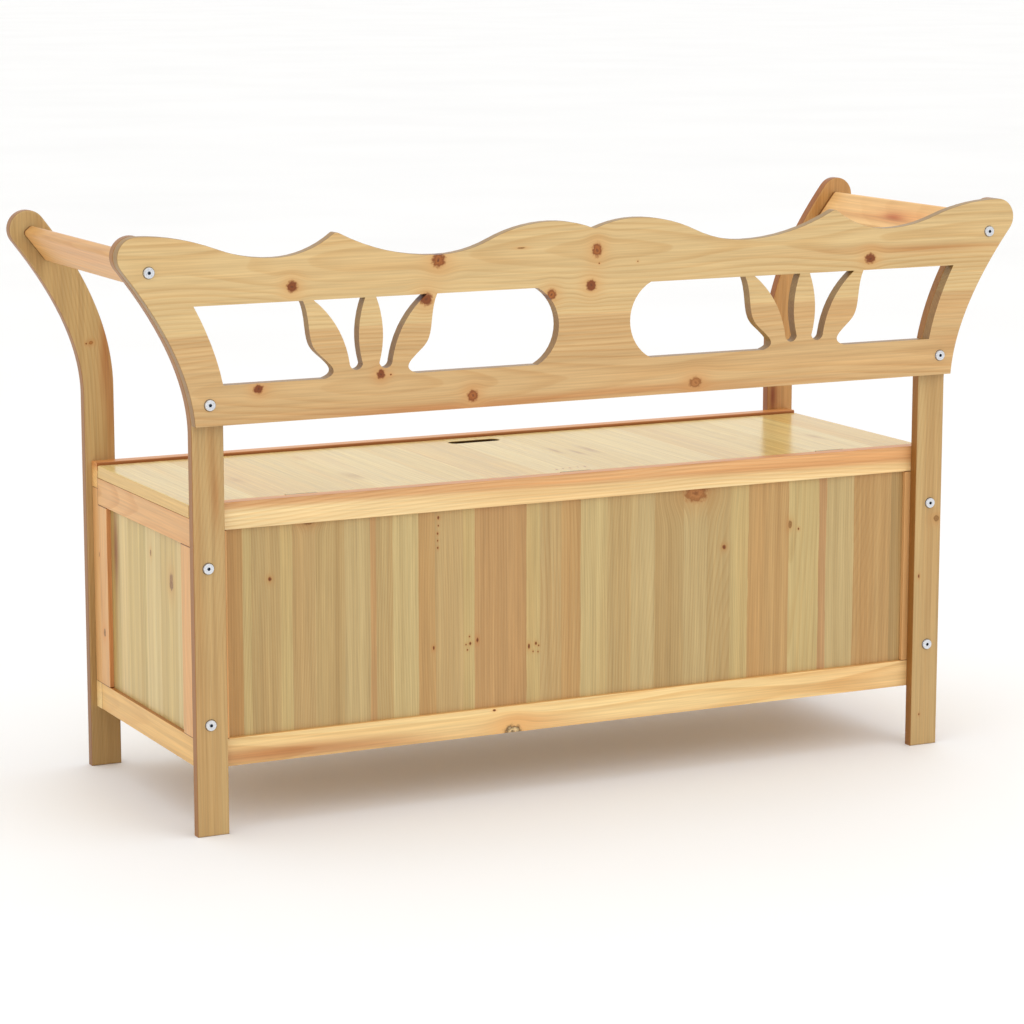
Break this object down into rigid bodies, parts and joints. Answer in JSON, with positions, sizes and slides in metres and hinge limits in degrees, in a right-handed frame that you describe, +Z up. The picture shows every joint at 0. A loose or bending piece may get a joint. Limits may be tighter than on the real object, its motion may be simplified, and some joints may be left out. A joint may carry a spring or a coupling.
{
  "type": "storage bench",
  "caption": "Wooden storage bench: panelled chest with a hinged lid as its seat, outward-sweeping posts, tilted armrests and a wavy backrest with cut-out windows.",
  "frame": {"origin": "on the floor, under the middle of the bounding box", "axes": "+Z up, +X along the seat's length, -Y towards the front (the sitting side), +Y towards the backrest"},
  "size_m": [1.2598, 0.423, 0.7385],
  "materials": {
    "armrest_wood": "clear lacquer, satin gloss",
    "backrest_wood": "clear lacquer, satin gloss",
    "bolt_zinc": "bright zinc plate",
    "dowel_wood": "plain",
    "frame_wood": "clear lacquer, satin gloss",
    "hinge_steel": "zinc plate",
    "inside_wood": "planed",
    "lid_wood": "clear lacquer, glossy",
    "nut_steel": "zinc plate",
    "panel_wood": "clear lacquer, satin gloss",
    "post_wood": "clear lacquer, satin gloss"
  },
  "bodies": {
    "frame": {"armrest_bolts_front": "bolt_zinc", "armrest_bolts_rear": "bolt_zinc", "armrest_inserts": "nut_steel", "armrest_left": "armrest_wood", "armrest_right": "armrest_wood", "backrest_board": "backrest_wood", "backrest_bolts": "bolt_zinc", "backrest_cap_nuts": "bolt_zinc", "barrel_nuts": "nut_steel", "chest_bolts": "bolt_zinc", "chest_floor": "inside_wood", "floor_cleat_front": "inside_wood", "floor_cleat_rear": "inside_wood", "frame_dowels": "dowel_wood", "front_bottom_rail": "frame_wood", "front_panel": "panel_wood", "front_stile_left": "frame_wood", "front_stile_right": "frame_wood", "front_top_rail": "frame_wood", "hinge_leaves_fixed": "hinge_steel", "hinge_pins": "hinge_steel", "hinge_screws_fixed": "hinge_steel", "left_bottom_rail": "frame_wood", "left_panel": "panel_wood", "left_stile_front": "frame_wood", "left_stile_rear": "frame_wood", "left_top_rail": "frame_wood", "lid_ledge_front": "inside_wood", "lid_ledge_rear": "inside_wood", "post_front_left": "post_wood", "post_front_right": "post_wood", "post_rear_left": "post_wood", "post_rear_right": "post_wood", "rear_bottom_rail": "frame_wood", "rear_panel": "panel_wood", "rear_stile_left": "frame_wood", "rear_stile_right": "frame_wood", "rear_top_rail": "frame_wood", "right_bottom_rail": "frame_wood", "right_panel": "panel_wood", "right_stile_front": "frame_wood", "right_stile_rear": "frame_wood", "right_top_rail": "frame_wood"},
    "lid": {"lid_panel": "lid_wood", "lid_batten_front": "inside_wood", "lid_batten_rear": "inside_wood", "hinge_leaves_moving": "hinge_steel", "hinge_screws_moving": "hinge_steel"}
  },
  "joints": [
    {"name": "lid_hinge", "type": "hinge", "parent": "frame", "child": "lid", "pos_m": [0, 0.1582, 0.4073], "axis": [-1, 0, 0], "range_deg": [0, 95]}
  ]
}
